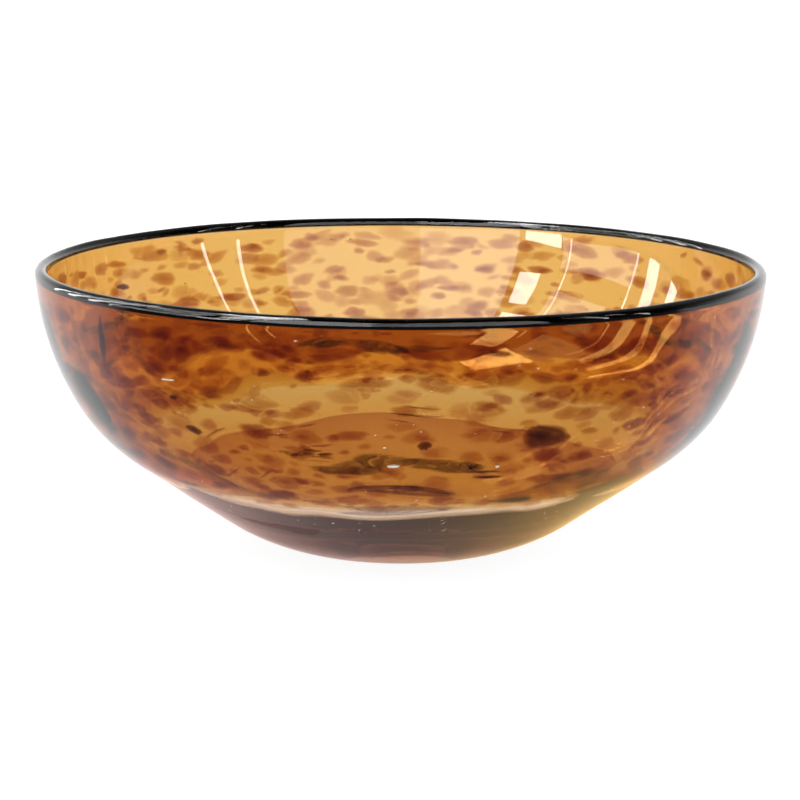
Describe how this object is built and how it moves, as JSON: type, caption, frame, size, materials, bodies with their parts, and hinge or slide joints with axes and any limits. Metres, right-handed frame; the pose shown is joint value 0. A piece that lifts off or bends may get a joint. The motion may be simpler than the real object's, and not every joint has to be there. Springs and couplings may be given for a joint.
{
  "type": "bowl",
  "caption": "Wide hand-blown glass bowl in layered tortoiseshell amber, with a dark rounded lip and a heavy smoke-grey base hollowed underneath.",
  "frame": {"origin": "centre of the ring that the bowl stands on", "axes": "+Z along the bowl's axis, up towards the lip; X and Y lie in the table and are free, because the bowl is round"},
  "size_m": [0.28, 0.28, 0.111],
  "materials": {
    "clear_glass": "fire polished",
    "amber_glass": "fused inside",
    "brown_glass": "fused inside",
    "aubergine_glass": "fused inside",
    "black_glass": "fused inside",
    "olive_glass": "fused inside",
    "smoke_glass": "fire polished",
    "charcoal_glass": "fire polished",
    "mauve_glass": "fire polished, ground under the base"
  },
  "bodies": {
    "root": {"first_gather": "clear_glass", "amber_overlay": "amber_glass", "brown_frit": "brown_glass", "aubergine_frit": "aubergine_glass", "black_frit": "black_glass", "olive_trails": "olive_glass", "outer_casing": "smoke_glass", "lip_wrap": "charcoal_glass", "heavy_base": "mauve_glass"}
  },
  "joints": []
}
